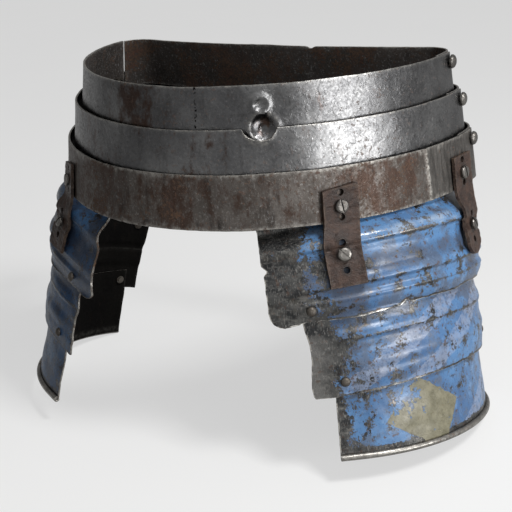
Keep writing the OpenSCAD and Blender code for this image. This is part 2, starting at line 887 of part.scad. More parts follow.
module left_plate_screws() {
    mirror([1, 0, 0]) right_plate_screws();
}

module left_plate_nuts() {
    mirror([1, 0, 0]) right_plate_nuts();
}

module left_upper_plate() {
    mirror([1, 0, 0]) right_upper_plate();
}

module left_middle_plate() {
    mirror([1, 0, 0]) right_middle_plate();
}

module left_lower_plate() {
    mirror([1, 0, 0]) right_lower_plate();
}

module left_rim_wire() {
    mirror([1, 0, 0]) right_rim_wire();
}

module left_upper_rivets() {
    mirror([1, 0, 0]) right_upper_rivets();
}

module left_upper_burrs() {
    mirror([1, 0, 0]) right_upper_burrs();
}

module left_lower_rivets() {
    mirror([1, 0, 0]) right_lower_rivets();
}

module left_lower_burrs() {
    mirror([1, 0, 0]) right_lower_burrs();
}

top_lame_front();
top_lame_back();
top_side_bolt();
top_side_nut();
middle_lame_front();
middle_lame_back();
middle_pivot_bolts();
middle_pivot_washers();
middle_pivot_nuts();
bottom_lame_front();
bottom_lame_back();
bottom_pivot_bolts();
bottom_pivot_washers();
bottom_pivot_nuts();
right_front_strap();
right_side_strap();
right_lame_screws();
right_lame_nuts();
right_plate_screws();
right_plate_nuts();
right_upper_plate();
right_middle_plate();
right_lower_plate();
right_rim_wire();
right_upper_rivets();
right_upper_burrs();
right_lower_rivets();
right_lower_burrs();
left_front_strap();
left_side_strap();
left_lame_screws();
left_lame_nuts();
left_plate_screws();
left_plate_nuts();
left_upper_plate();
left_middle_plate();
left_lower_plate();
left_rim_wire();
left_upper_rivets();
left_upper_burrs();
left_lower_rivets();
left_lower_burrs();
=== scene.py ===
# %% [markdown]
# # Hip defence with two tassets
# Three steel hoops, called lames, go round the hips, and a tasset of three blue plates hangs from them on
# leather straps at each side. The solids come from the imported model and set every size. Here the sheet
# metal and the leather are made again with their dents, torn edges and creases, and get their finishes.

# %% Load the frame
from functools import partial
from math import atan, copysign, cos, degrees, exp, hypot, pi, radians, sin, sqrt
import bpy
import bmesh
from mathutils import Matrix, Vector, noise


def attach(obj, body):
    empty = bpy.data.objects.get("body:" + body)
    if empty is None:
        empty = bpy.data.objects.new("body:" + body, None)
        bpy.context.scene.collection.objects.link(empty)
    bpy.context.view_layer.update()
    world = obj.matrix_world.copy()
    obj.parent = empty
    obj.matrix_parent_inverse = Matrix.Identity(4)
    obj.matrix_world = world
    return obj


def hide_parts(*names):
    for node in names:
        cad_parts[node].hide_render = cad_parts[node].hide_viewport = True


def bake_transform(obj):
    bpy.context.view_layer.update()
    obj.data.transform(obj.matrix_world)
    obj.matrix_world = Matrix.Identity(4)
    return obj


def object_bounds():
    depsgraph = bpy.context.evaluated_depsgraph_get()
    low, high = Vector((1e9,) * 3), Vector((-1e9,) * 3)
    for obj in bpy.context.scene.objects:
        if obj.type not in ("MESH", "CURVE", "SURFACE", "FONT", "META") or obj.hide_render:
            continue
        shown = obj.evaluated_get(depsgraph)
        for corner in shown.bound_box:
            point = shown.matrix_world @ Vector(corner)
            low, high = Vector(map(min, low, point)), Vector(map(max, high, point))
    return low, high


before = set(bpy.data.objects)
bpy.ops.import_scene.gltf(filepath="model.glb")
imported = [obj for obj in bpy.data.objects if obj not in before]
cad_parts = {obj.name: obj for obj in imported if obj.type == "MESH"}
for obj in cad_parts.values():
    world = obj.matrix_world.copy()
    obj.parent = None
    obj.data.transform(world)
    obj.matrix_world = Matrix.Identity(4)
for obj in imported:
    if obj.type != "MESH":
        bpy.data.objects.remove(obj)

cad_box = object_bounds()
MM = 0.001
scene = bpy.context.scene

# %% [markdown]
# The camera comes first. Its place was worked out from the rims of the hoops in the photograph, so the
# render has the same perspective: a longish lens a metre away, 20 degrees above the level.

# %% Camera
camera = bpy.data.objects.new("camera", bpy.data.cameras.new("camera"))
scene.collection.objects.link(camera)
camera.data.lens = 73.96
camera.data.sensor_width = 36
camera_right = Vector((0.89667, 0.44010, -0.04784))
camera_up = Vector((-0.11093, 0.32800, 0.93814))
camera_back = Vector((0.42857, -0.83590, 0.34293))
camera.matrix_world = Matrix.Translation((0.46808, -0.87340, 0.16727)) @ Matrix(
    (camera_right, camera_up, camera_back)).transposed().to_4x4()
scene.camera = camera
scene.view_settings.view_transform = "Standard"
print("camera at", [round(c, 3) for c in camera.location])

# %% [markdown]
# One small function adds every shader node. The kind of node can carry its one setting, as in
# "Math MULTIPLY". The values go to the open inputs in order, or to the input of that name, and where a value
# is another node's output it is linked. EASE brings a value from one range to another with soft ends, MIX
# lays a share of one colour over another, and TIMES_ADD multiplies two values and adds a third.

# %% Colour and node helpers
SETTING = {"Math": "operation", "VectorMath": "operation", "Mix": "data_type", "MapRange": "interpolation_type",
           "Attribute": "attribute_name", "UVMap": "uv_map", "TexVoronoi": "feature"}
EASE, MIX = "MapRange SMOOTHSTEP", "Mix RGBA"
ADD, TIMES, TIMES_ADD = "Math ADD", "Math MULTIPLY", "Math MULTIPLY_ADD"


def linear(hex_colour):
    """sRGB hex to the linear colour that shaders work in."""
    parts = [int(hex_colour[i:i + 2], 16) / 255 for i in (1, 3, 5)]
    return [c / 12.92 if c <= 0.04045 else ((c + 0.055) / 1.055) ** 2.4 for c in parts] + [1.0]


def add_node(tree, kind, *values, output=None, **named):
    """Adds a shader node with its setting, values and links, and gives its first open output or a named one."""
    kind, _, setting = kind.partition(" ")
    new = tree.nodes.new("ShaderNode" + kind)
    if setting:
        setattr(new, SETTING[kind], setting)
    pairs = list(zip([socket for socket in new.inputs if socket.enabled], values))
    pairs += [(new.inputs[name.replace("_", " ")], value) for name, value in named.items()]
    for socket, value in pairs:
        if isinstance(value, bpy.types.NodeSocket):
            tree.links.new(value, socket)
        else:
            socket.default_value = linear(value) if isinstance(value, str) else value
    return new.outputs[output] if output else next((socket for socket in new.outputs if socket.enabled), None)


def new_material(name):
    """An empty material, what adds its nodes, and what adds its noise."""
    material = bpy.data.materials.new(name)
    material.use_nodes = True
    material.node_tree.nodes.clear()
    node = partial(add_node, material.node_tree)
    place = node("TexCoord", output="Object")

    def cloud(size_mm, detail=4.0, rough=0.55, stretch=None, shift=0.0):
        """Noise of a real feature size. A stretch makes streaks, and a shift gives another sample."""
        where = place
        if stretch or shift:
            where = node("Mapping", place, (shift, 2 * shift, 3 * shift), Scale=stretch or (1, 1, 1))
        return node("TexNoise", where, 1 / (size_mm * MM), detail, rough)

    return material, node, cloud


def laid(node, colour, *rows):
    """Tints laid over a colour. A row is a tint, the pattern of how much of it shows, and how that is eased."""
    for tint, pattern, *ease in rows:
        colour = node(MIX, node(EASE, pattern, *ease) if ease else pattern, colour, tint)
    return colour


def surface(node, colour, metallic, roughness, layers=(), gloss=0.5, **named):
    """The shader and the output. A bump layer is a height and its real depth in millimetres."""
    for height, depth in layers:
        below = {"Normal": named["Normal"]} if "Normal" in named else {}
        named["Normal"] = node("Bump", 1.0, depth * MM, Height=height, **below)
    node("OutputMaterial", node("BsdfPrincipled", colour, metallic, roughness, Specular_IOR_Level=gloss, **named))


# %% [markdown]
# The room is a pale floor under a plain sky that lights more from the right than from the left. A wide soft
# lamp stands low at the right, where its reflection lies across the polished hoops as one broad highlight,
# and a second one lights the ridges from above. Seen by the camera, floor and sky are paler than the light
# that they give.

# %% Floor, lamps and sky
bm = bmesh.new()
bmesh.ops.create_circle(bm, cap_ends=True, segments=96, radius=9)
bmesh.ops.translate(bm, verts=bm.verts, vec=(0, 0, cad_box[0][2] - 0.5 * MM))
floor = bpy.data.objects.new("floor", bpy.data.meshes.new("floor"))
bm.to_mesh(floor.data)
bm.free()
scene.collection.objects.link(floor)


def seen_directly(node, straight, mirrored):
    """One strength for rays straight from the camera, another in a reflection or through glass, else 0."""
    turned = node("Math MAXIMUM", node("LightPath", output="Is Glossy Ray"),
                  node("LightPath", output="Is Transmission Ray"))
    return node(TIMES_ADD, node("LightPath", output="Is Camera Ray"), straight,
                node(TIMES, turned, mirrored))


material, node, cloud = new_material("pale_matt_floor")
surface(node, laid(node, "#949493", ("#999998", cloud(1000 / 3, 2.0, 0.5))), 0.0, 0.9, gloss=0.2,
        Emission_Strength=seen_directly(node, 0.58, 0.34))
floor.data.materials.append(material)


def soft_lamp(name, turn, height, distance, size, power, aim):
    """Area lamp at a turn from the front and a height angle, aimed at a point."""
    lamp = bpy.data.lights.new(name, "AREA")
    lamp.shape = "RECTANGLE"
    lamp.size, lamp.size_y = size
    lamp.energy = power
    lamp_object = bpy.data.objects.new(name, lamp)
    scene.collection.objects.link(lamp_object)
    a, h = radians(turn), radians(height)
    away = Vector((sin(a) * cos(h), -cos(a) * cos(h), sin(h)))
    lamp_object.location = Vector(aim) + distance * away
    lamp_object.rotation_euler = away.to_track_quat("Z", "Y").to_euler()


soft_lamp("side_lamp", 76, 4, 1.7, (0.9, 0.5), 19.5, (0.1, 0, -0.1))
soft_lamp("top_lamp", 70, 55, 1.8, (0.4, 0.4), 26, (0.1, 0, -0.15))

world = bpy.data.worlds.new("studio_sky")
world.use_nodes = True
scene.world = world
sky = world.node_tree.nodes["Background"]
sky.inputs["Color"].default_value = linear("#f0f0f0")
node = partial(add_node, world.node_tree)
lit_side = node("VectorMath DOT_PRODUCT", node("TexCoord", output="Generated"), (0.80, -0.45, 0.40))
given = node("MapRange LINEAR", lit_side, -0.2, 0.9, 0.015, 0.42)
mirrored = node("MapRange LINEAR", lit_side, -0.5, 0.6, 0.22, 0.95)
strength = node("Math MAXIMUM", given, seen_directly(node, 0.92, mirrored))
world.node_tree.links.new(strength, sky.inputs["Strength"])
print("floor, two lamps and a sky")

# %% [markdown]
# ## Finishes
# Every pattern is made from noise in Object coordinates, so its size is a real one. The sheet pieces also carry
# two vertex attributes and a UV map. "wear" is 1 along rubbed edges and crests. "stain" is above 0 where rust or
# grime has gathered, and also as painted shade in the valleys of the upper tasset plates, on the left tasset and
# round the straps' screw heads. It is below 0 where the metal was ground or polished, and on the tasset crests
# that also paints a pale glint on the paint. The UV map "plan" holds the distance along and down the flat sheet in
# metres.
#
# Old polished steel is bright metal under a dark patina, with rust in the pits and along the drips. The base
# colour is far darker than new steel, because the patina covers most of it and only the highlight shows the
# polish. Small dents break the reflection, as they do on sheet that was beaten flat by hand.

# %% Steel finishes
def attributes(node):
    """The wear and the stain of a sheet piece."""
    return [node("Attribute " + name, output="Fac") for name in ("wear", "stain")]


def stripe(node, turn, middle, half_width, rough_edge):
    """A band at a turn in the flat sheet: 1 inside, 0 outside."""
    a = radians(turn)
    across = node("VectorMath DOT_PRODUCT", node("UVMap plan"), (cos(a), sin(a), 0))
    off = node("Math SUBTRACT", node(ADD, across, rough_edge), middle * MM)
    return node("Math LESS_THAN", node("Math ABSOLUTE", off), half_width * MM)


def old_steel(name, dark, light, rust_share, shine, streaks, metal=1.0, crack=None, spots=0.6, brush=0.25,
              rub=0.8, soak=1.0, painted_shade_share=0.0, gloss=0.5):
    """Patinated steel. shine is the roughness of its clean metal, crack the run of a dotted crack, and the rest
    say how much of each mark shows: drips, pits, brushed light, rubbed edges, stains, and painted shade laid over
    it all."""
    material, node, cloud = new_material(name)
    wear, stain = attributes(node)
    fine = cloud(2.2, 3.0, 0.6, shift=1.3)
    mottle = cloud(2.8, 4.0, 0.7, shift=4.9)
    ground = node(EASE, stain, -0.9, -0.2, 0.6, 0.0)
    scores = node(TIMES, ground, node(EASE, cloud(4, 4.0, 0.7, (1, 1, 0.12), 6.2), 0.46, 0.62))
    rubbed = node(TIMES, wear, node(EASE, cloud(5, 4.0, 0.7, shift=5.2), 0.36, 0.66, 0.1 * rub, rub))
    film = node(TIMES_ADD, stain, 0.26 * soak, cloud(13, 6.0, 0.75, (1, 1, 0.55), 5.5))
    film = node(TIMES_ADD, wear, -0.14, film)
    colour = laid(
        node, dark, (light, cloud(70, 4.0, 0.6), 0.34, 0.68),
        ("#221e1c", cloud(9, 4.0, 0.6, (1, 1, 0.14), 2.1), 0.52, 0.76, 0.0, streaks),
        ("#98979a", cloud(1.3, 3.0, 0.6, (1, 1, 0.2), 4.4), 0.58, 0.80, 0.0, brush),
        ("#1f1d1c", mottle, 0.36, 0.50, 0.17, 0.0), ("#8d8c8a", mottle, 0.55, 0.72, 0.0, brush),
        ("#5a5855", ground), ("#2c2a28", scores), ("#a09d97", rubbed),
        ("#3a2a22", film, 0.57, 0.76, 0.0, max(0.1, min(0.85, 1.1 * rub))),
        ("#8f8b86", cloud(1.5, 3.0, 0.6, shift=5.9), 0.60, 0.76, 0.0, brush))

    patch = node(ADD, node(TIMES, cloud(26, 6.0, 0.68, shift=0.7), 0.72),
                 node(TIMES, fine, 0.28))
    patch = node(TIMES_ADD, stain, 0.19 * soak, patch)
    pits = node(TIMES_ADD, cloud(60, 2.0, 0.5, shift=3.6), 0.25, cloud(3.4, 2.0, 0.5, shift=3.3))
    pits = node(TIMES_ADD, stain, 0.03, pits)
    limit = 0.70 - 0.22 * rust_share
    rust = node("Math MAXIMUM", node(EASE, patch, limit, limit + 0.09, 0.0, 0.9),
                node(EASE, pits, 0.765, 0.80, 0.0, spots))
    rust_colour = laid(node, "#2b211c", ("#57402f", fine, 0.35, 0.65),
                       ("#563427", cloud(12, 3.0, shift=7.7), 0.52, 0.7, 0.0, 0.6))
    colour = laid(node, colour, (rust_colour, rust))
    if crack:
        wander = node(TIMES_ADD, cloud(6, 4.0, 0.7, shift=9.0), 5 * MM, -2.5 * MM)
        dots = node(EASE, cloud(2.0, 1.0, shift=10.0), 0.49, 0.55)
        colour = laid(node, colour, ("#0d0b0a", node(TIMES, stripe(node, 0, crack, 0.9, wander), dots)))
    # painted_shade_share lays near-black over the colour as painted shade.
    if painted_shade_share:
        colour = laid(node, colour, ("#0a0706", painted_shade_share))
    roughness = node(ADD, node(EASE, fine, 0.3, 0.7, shine - 0.06, shine + 0.1),
                     node(TIMES, rust, 0.4))
    wrinkle = node(EASE, cloud(7, 4.0, 0.6, shift=6.6), 0.50, 0.66)
    dents = ((cloud(20, 2.0, 0.5, shift=6.0), 0.32), (wrinkle, 0.10), (cloud(3.4, 3.0, 0.65, shift=6.9), 0.07),
             (fine, 0.03), (rust, 0.10))
    surface(node, colour, node(EASE, rust, 0, 1, metal, 0.15), roughness, dents, gloss)
    return material


steel_top = old_steel("worn_polished_steel_cracked", "#4d4d4e", "#6c6c6c", 0.0, 0.32, 0.3, crack=27.5, spots=0.35)
steel_out = old_steel("worn_polished_steel", "#545455", "#727272", 0.0, 0.32, 0.3, spots=0.35)
# The top hoop's inside: rusty steel, darkened with painted shade.
steel_in = old_steel("rusty_steel_inside_with_painted_shade", "#28231f", "#3f3935", 0.72, 0.7, 0.6, 0.3, brush=0.8, painted_shade_share=0.38)
# Near-black steel that paints the shade inside the middle and bottom hoops and on the inner faces of the tasset
# plates.
steel_painted_shade = old_steel("painted_shade_steel_inside", "#080707", "#11100e", 0.0, 0.9, 0.3, 0.0, spots=0.0, brush=0.0,
                       rub=0.15, soak=0.0, gloss=0.08)
steel_bottom = old_steel("rust_browned_steel", "#46413d", "#645f5b", 0.16, 0.48, 0.85, 0.85, brush=0.5)
# The hoops' cut edges: rubbed bright steel, made paler still as a painted highlight along the rims.
steel_edge = old_steel("rubbed_steel_edge_painted_highlight", "#a09d98", "#c8c5bf", 0.02, 0.36, 0.2)
steel_lip = old_steel("rubbed_plate_edge", "#67645f", "#918e88", 0.08, 0.36, 0.4, soak=0.0)
steel_rim = old_steel("dark_rolled_rim_steel", "#5c5a57", "#84817c", 0.12, 0.34, 0.5)
steel_fastener = old_steel("turned_fastener_steel", "#524f4c", "#75726e", 0.0, 0.36, 0.3, spots=0.3)
steel_nut = old_steel("rusty_nut_steel", "#45403b", "#656059", 0.35, 0.5, 0.4, 0.8)
print("steel finishes made")

# %% [markdown]
# Blue paint over rusty sheet. The paint has worn off towards the front edge and along the crests, so one
# noise field plus the wear attribute decides where it is gone. Its edge is a real step of paint, drawn with
# bump. Whitewash bands and one blank cream patch are layers on the same sheet, in millimetres of the flat
# sheet.

# %% Painted finishes
def blue_paint(name, bands=(), patch=None, worn_more=0.0, painted_side_shade=0.0, gloss=0.5):
    """Chipped blue paint on browned steel. A band is a turn, a middle and a half width, and the patch is its
    middle along and down, its turn and its two half sizes."""
    material, node, cloud = new_material(name)
    wear, stain = attributes(node)
    fine = cloud(2.0, 3.0, 0.6, shift=1.3)
    # polished is real polish: it lowers the roughness and bares more metal. Times painted_glint it also lays a
    # pale glint over the paint on the crests.
    polished = node(EASE, stain, -0.15, -0.85)
    painted_glint = node(EASE, cloud(14, 5.0, 0.7, (0.5, 0.5, 1.3), 2.6), 0.42, 0.62, 0.1, 0.75)
    # Where stain is high the paint turns slate and dark blue. These are real stains, and painted shade in the
    # upper plates' valleys and on the left tasset.
    paint = laid(
        node, "#365880", ("#4b749f", cloud(60, 4.0, 0.6), 0.35, 0.65),
        ("#495364", node(TIMES_ADD, stain, 0.10, cloud(20, 6.0, 0.68, shift=2.2)), 0.48, 0.62, 0.0, 0.8),
        ("#708cae", cloud(9, 5.0, 0.65, shift=2.9), 0.54, 0.70, 0.0, 0.5), ("#223048", stain, 0.3, 0.9, 0.0, 0.45),
        ("#8c9aab", node(TIMES, polished, painted_glint)))
    rough_edge = node(TIMES_ADD, cloud(6, 4.0, 0.7, shift=4.1), 6 * MM, -3 * MM)
    washed = node(EASE, cloud(5, 4.0, 0.7, shift=5.7), 0.38, 0.54, 0.12, 0.5)
    for band in bands:
        paint = laid(node, paint, ("#8791a6", node(TIMES, stripe(node, *band, rough_edge), washed)))

    chip = node(ADD, node(TIMES, cloud(17, 6.0, 0.72, shift=0.4), 0.75),
                node(TIMES, fine, 0.25))
    chip = node(ADD, chip, node(TIMES, wear, 0.30))
    chip = node(TIMES_ADD, polished, 0.015, chip)
    limit = 0.562 - worn_more
    bare = node(EASE, chip, limit, limit + 0.012)
    rim = node("Math SUBTRACT", node(EASE, chip, limit - 0.02, limit - 0.01), bare)
    bright = node(TIMES, node(EASE, wear, 0.80, 0.95), node(EASE, cloud(8, 3.0, shift=3.1), 0.42, 0.58))
    rusty = node(TIMES, node(EASE, cloud(5, 4.0, 0.7, shift=8.1), 0.57, 0.66), 0.45)
    metal = laid(
        node, "#2a2b2c", ("#4c4c4b", cloud(12, 4.0, shift=7.0), 0.38, 0.62),
        ("#645f57", cloud(20, 5.0, 0.7, shift=3.9), 0.55, 0.70, 0.0, 0.45),
        ("#8f8d89", cloud(1.2, 3.0, 0.6, (1, 1, 0.25), 3.7), 0.50, 0.76, 0.0, 0.62),
        ("#7d7b77", cloud(7, 5.0, 0.75, (0.5, 0.5, 1.6), 4.6), 0.52, 0.66, 0.0, 0.5),
        ("#8f8d8a", node(TIMES, polished, 0.45)), ("#b5b2ab", bright), ("#543a2b", rusty))
    specks = node(TIMES, node(EASE, cloud(4.6, 4.0, 0.6, shift=9.3), 0.615, 0.64), 0.8)
    colour = laid(node, paint, ("#48362d", specks), ("#3d3a40", node(TIMES, rim, 0.45)), (metal, bare))
    metallic = node(TIMES, bare, 0.75)
    heights = [(cloud(18, 2.0, 0.5, shift=6.0), 0.4), (node("Math SUBTRACT", 1.0, bare), 0.12), (fine, 0.07)]

    if patch:
        run, depth, turn, half_long, half_wide = patch
        a = radians(turn)
        cream = node(TIMES, stripe(node, turn, cos(a) * run + sin(a) * depth, half_long, rough_edge),
                     stripe(node, turn + 90, cos(a) * depth - sin(a) * run, half_wide, rough_edge))
        corner = node("VectorMath DISTANCE", node("UVMap plan"), ((run - 22) * MM, (depth - 19) * MM, 0))
        torn = node(ADD, cloud(9, 5.0, 0.7, shift=11.0), node(EASE, corner, 8 * MM, 26 * MM, 0.2, 0.0))
        cream = node(TIMES, cream, node(EASE, torn, 0.65, 0.67, 1.0, 0.0))
        cream_colour = laid(node, "#77735f", ("#5c5946", cloud(8, 5.0, 0.7, shift=12.0), 0.35, 0.7),
                            ("#5f5138", cloud(2.6, 3.0, shift=13.0), 0.66, 0.72, 0.0, 0.8))
        colour = laid(node, colour, (cream_colour, cream))
        metallic = node(TIMES, metallic, node("Math SUBTRACT", 1.0, cream))
        heights.append((cream, 0.15))
    # painted_side_shade lays a dark blue over the colour as painted shade.
    if painted_side_shade:
        colour = laid(node, colour, ("#101c34", painted_side_shade))
    roughness = node(TIMES_ADD, polished, -0.1, node(EASE, fine, 0.3, 0.7, 0.25, 0.44))
    surface(node, colour, metallic, roughness, heights, gloss)
    return material


paint_plain = blue_paint("chipped_blue_paint")
# The left plates: less worn, and darkened with painted shade.
paint_with_painted_shade = blue_paint("chipped_blue_paint_sheltered_painted_shade", worn_more=-0.03, painted_side_shade=0.22, gloss=0.2)
paint_banded = blue_paint("chipped_blue_paint_whitewashed", bands=((62, 196, 9), (62, 232, 8.5)))
paint_patched = blue_paint("chipped_blue_paint_patched", bands=((62, 310, 8.5),), patch=(145, 216, 32, 34, 25))
print("paint finishes made")

# %% [markdown]
# Harness leather, cut from a hide and left undressed: grain pores about a millimetre apart, wrinkles with painted
# shade in their hollows and paler high places, a ring of painted shade round each screw head and a darker ring
# round each open hole, and a tan cut edge where the dye stopped.

# %% Leather finish
leather, node, cloud = new_material("dry_brown_harness_leather")
wear, stain = attributes(node)
grain = node("TexVoronoi DISTANCE_TO_EDGE", node("TexCoord", output="Object"), 1 / (1.5 * MM))
wrinkle = cloud(3.6, 5.0, 0.68, (0.75, 0.75, 1.35))
mottle = cloud(10, 5.0, 0.7, shift=2.0)
cut_edge = node(TIMES, wear, node(EASE, cloud(5, 3.0, shift=3.0), 0.35, 0.6, 0.0, 0.7))
# The two wrinkle rows paint shade into the wrinkles' hollows and make their high places paler. The stain row is
# painted shade round the screw heads and a darker ring round each open hole.
colour = laid(
    node, "#241813", ("#43322a", mottle, 0.35, 0.68), ("#1f1814", wrinkle, 0.30, 0.44, 0.5, 0.0),
    ("#6b564a", wrinkle, 0.56, 0.70, 0.0, 0.35), ("#1a1512", stain, 0.1, 0.9, 0.0, 0.55),
    ("#2a201a", grain, 0.0, 0.12, 0.35, 0.0), ("#54463b", cut_edge))
surface(node, colour, 0.0, node(EASE, mottle, 0.3, 0.7, 0.38, 0.56), ((wrinkle, 1.1), (grain, 0.2)), gloss=0.3)
print("leather finish made")

# %% [markdown]
# ## The hoops' shapes
# Each hoop is drawn in plan from arcs that touch: the belly, the hip, the rear corner, and the hollow of
# the back. The sizes are the ones of the solids, in millimetres, with the left end of the back plate a
# little nearer the front plate.

# %% Sizes of the hoops
levels = ("top", "middle", "bottom")
waist_front, belly_r, hip_r, rear_r = 114, 139, 230, 27
belly_turn, hip_turn, back_turn = 28.4, 87, 10
step_front, step_belly, step_hip, step_rear = 8.6, 15.5, 7, 9
sheet, seat, flare, eased_edge = 2.0, 0.3, 0.12, 0.45
front_end, left_end, back_start, left_back_end = 96, 112, 81.6, 112.7
lame_top, lame_low = (0, -35, -72), (-50, -87, -120)


def facing(turn):
    """Outward direction in plan at a turn from the front."""
    return Vector((sin(radians(turn)), -cos(radians(turn)), 0))


def hoop_arcs(k):
    """Centres and radii of hoop k: belly, hip, rear corner, hollow back."""
    belly, hip, rear = belly_r + k * step_belly, hip_r + k * step_hip, rear_r + k * step_rear
    belly_at = Vector((0, belly - waist_front - k * step_front, 0))
    hip_at = belly_at + (belly - hip) * facing(belly_turn)
    rear_at = hip_at + (hip - rear) * facing(hip_turn)
    rear_end = rear_at + rear * facing(180 + back_turn)
    back = rear_end.x / sin(radians(back_turn))
    back_at = rear_end + back * facing(180 + back_turn)
    return (belly_at, belly), (hip_at, hip), (rear_at, rear), (back_at, back)


def front_arcs(k):
    """Arcs of the front plate from the middle of the belly: centre, radius, start, end, side it faces."""
    belly, hip, rear, _ = hoop_arcs(k)
    return [(*belly, 0, belly_turn, 1), (*hip, belly_turn, hip_turn, 1), (*rear, hip_turn, 180, 1)]


def back_arcs(k):
    """Arcs of the back plate from the middle of the back."""
    _, hip, rear, back = hoop_arcs(k)
    return [(*back, 0, back_turn, -1), (*rear, 180 + back_turn, hip_turn, 1), (*hip, hip_turn, 0, 1)]


def arcs_length(arcs, last_turn):
    """Distance along the arcs to a turn on the last arc that holds it."""
    total = 0
    for centre, radius, start, end, sign in arcs:
        if min(start, end) <= last_turn <= max(start, end) and sign > 0:
            return total + radius * radians(abs(last_turn - start))
        total += radius * radians(abs(end - start))
    return total


def along(arcs, run):
    """Point and outward direction after a signed run from the middle, mirrored when it is negative."""
    side, rest = (1 if run >= 0 else -1), abs(run)
    for i, (centre, radius, start, end, sign) in enumerate(arcs):
        length = radius * radians(abs(end - start))
        if rest <= length or i == len(arcs) - 1:
            turn = start + copysign(degrees(rest / radius), end - start)
            point, out = centre + radius * facing(turn), sign * facing(turn)
            return Vector((side * point.x, point.y, 0)), Vector((side * out.x, out.y, 0))
        rest -= length


print("hoop lengths", [round(arcs_length(front_arcs(k), front_end)) for k in range(3)])

# %% [markdown]
# A sheet starts as a flat grid. Each corner of the grid is moved to its place on the shape, bmesh layers keep how
# worn and stained it is, with the painted shade that the stain layer also carries, and a UV map keeps where it
# lies on the flat sheet. Solidify then gives it the thickness of the sheet inwards, with its own materials for the
# inside and the cut edge, and a small bevel lets the edge catch the light.

# %% Making a sheet piece
def made_sheet(name, columns, rows, spot, outwards, materials, thickness, bevel, cut=None):
    """A grid wrapped by spot(s, t) -> (place, wear, plan, stain), given its thickness towards the inside."""
    bm = bmesh.new()
    bmesh.ops.create_grid(bm, x_segments=columns, y_segments=rows, size=0.5)
    if cut:
        cut(bm)
    wear, stain = (bm.verts.layers.float.new(layer) for layer in ("wear", "stain"))
    plan = bm.loops.layers.uv.new("plan")
    flat = {}
    for vert in bm.verts:
        place, vert[wear], flat[vert], vert[stain] = spot(vert.co.x + 0.5, vert.co.y + 0.5)
        vert.co = place * MM
    bm.normal_update()
    middle = list(bm.faces)[len(bm.faces) // 2]
    if middle.normal.dot(outwards(middle.calc_center_median() / MM)) < 0:
        bmesh.ops.reverse_faces(bm, faces=bm.faces)
    for face in bm.faces:
        face.smooth = True
        for loop in face.loops:
            loop[plan].uv = (flat[loop.vert][0] * MM, flat[loop.vert][1] * MM)
    piece = bpy.data.objects.new(name, bpy.data.meshes.new(name))
    bm.to_mesh(piece.data)
    bm.free()
    scene.collection.objects.link(piece)
    for finish in materials:
        piece.data.materials.append(finish)
    wall = piece.modifiers.new("sheet_thickness", "SOLIDIFY")
    wall.thickness, wall.offset, wall.use_even_offset = thickness * MM, -1, True
    wall.material_offset, wall.material_offset_rim = (1, 2) if len(materials) > 1 else (0, 0)
    rounded = piece.modifiers.new("eased_edge", "BEVEL")
    rounded.width, rounded.segments, rounded.limit_method = bevel * MM, 2, "ANGLE"
    rounded.angle_limit, rounded.harden_normals = radians(50), True
    return piece


def rough(x, y, size, seed):
    """Smooth noise from -1 to 1 at a real size in millimetres."""
    return noise.noise(Vector((x / size, y / size, 7.3 * seed)))


def bell(off, width, power=2):
    """1 at the middle, easing to 0 about twice the width away."""
    return exp(-(off / width) ** power)


def held(value):
    """A value held between 0 and 1."""
    return min(1.0, max(0.0, value))


def from_list(pairs, x):
    """Straight interpolation in a list of (x, value)."""
    if x <= pairs[0][0]:
        return pairs[0][1]
    for (x0, y0), (x1, y1) in zip(pairs, pairs[1:]):
        if x <= x1:
            return y0 + (y1 - y0) * (x - x0) / (x1 - x0)
    return pairs[-1][1]


print("sheet maker ready")

# %% [markdown]
# The front of the top hoop took a blow: a crater a thumb wide with a raised ring and a smaller knock above
# it, and the middle hoop's upper edge was pushed into a U and torn there. The bottom hoop is welded together
# from two pieces. All of this is shape in the metal, so it shows from every side.

# %% Blows and seams on the hoops
blow_run, blow_z, blow_r = 84, -35.5, 11.2
dent_run, dent_half, dent_depth = blow_run + 1, 15.0, 10.4
seam_run, seam_slant = 251, 0.06


def top_marks(run, z):
    """Outward move, wear and stain of the top hoop: the crater, its ring, the smaller knock, the buckles."""
    d = hypot(run - blow_run, z - blow_z)
    floor_depth = 5.0 + 1.6 * rough(run, z, 4, 24) + 0.7 * rough(run, z, 1.9, 28)
    pit = -floor_depth * held((blow_r + 1.2 * rough(run, z, 9, 25) - d) / 9.5) ** 0.9
    ring = (1.0 + 1.3 * rough(run, z, 6, 22)) * bell(d - blow_r - 1.2, 2.4)
    knock = hypot(run - 82.5, z + 17)
    small = -1.6 * bell(knock, 4.6) + 1.5 * bell(knock - 7.0, 2.2) - 1.5 * bell(hypot(run - 93, z + 10), 7)
    buckle = 1.5 * rough(run, z, 9, 21) * bell(d, 22)
    wear = (0.35 + 0.6 * rough(run, z, 8, 23)) * bell(d - blow_r - 1, 1.6)
    stain = bell(run + 34, 26) + (0.64 + 0.5 * rough(run, z, 4, 26)) * bell(d, 9.8, 4)
    return pit + ring + small + buckle - 2.2 * bell(run - blow_run, 34) * bell(z + 30, 20), wear, stain


def dent_edge(run):
    """How far the middle hoop's upper edge is pushed down at the blow."""
    x = (run - dent_run) / dent_half
    tear = 1.3 * rough(run, 0, 3.5, 5) + 0.7 * rough(run, 0, 1.6, 6) if abs(x) < 1.1 else 0
    return dent_depth * sqrt(max(0.0, 1 - x * x)) + tear


def middle_marks(run, z):
    """The same for the middle hoop: the lip of the U and two faint stains."""
    off = hypot(run - dent_run, z - lame_top[1])
    lip = 1.5 * bell(max(0.0, off - dent_depth), 3.2) * (1 + 0.5 * rough(run, z, 3, 8))
    wear = (0.9 + 0.5 * rough(run, z, 4, 29)) * bell(off - 12.4, 2.2)
    return lip if z > lame_top[1] - 22 else 0, wear, 0.45 * bell(run + 105, 26) + 0.35 * bell(run - 25, 35)


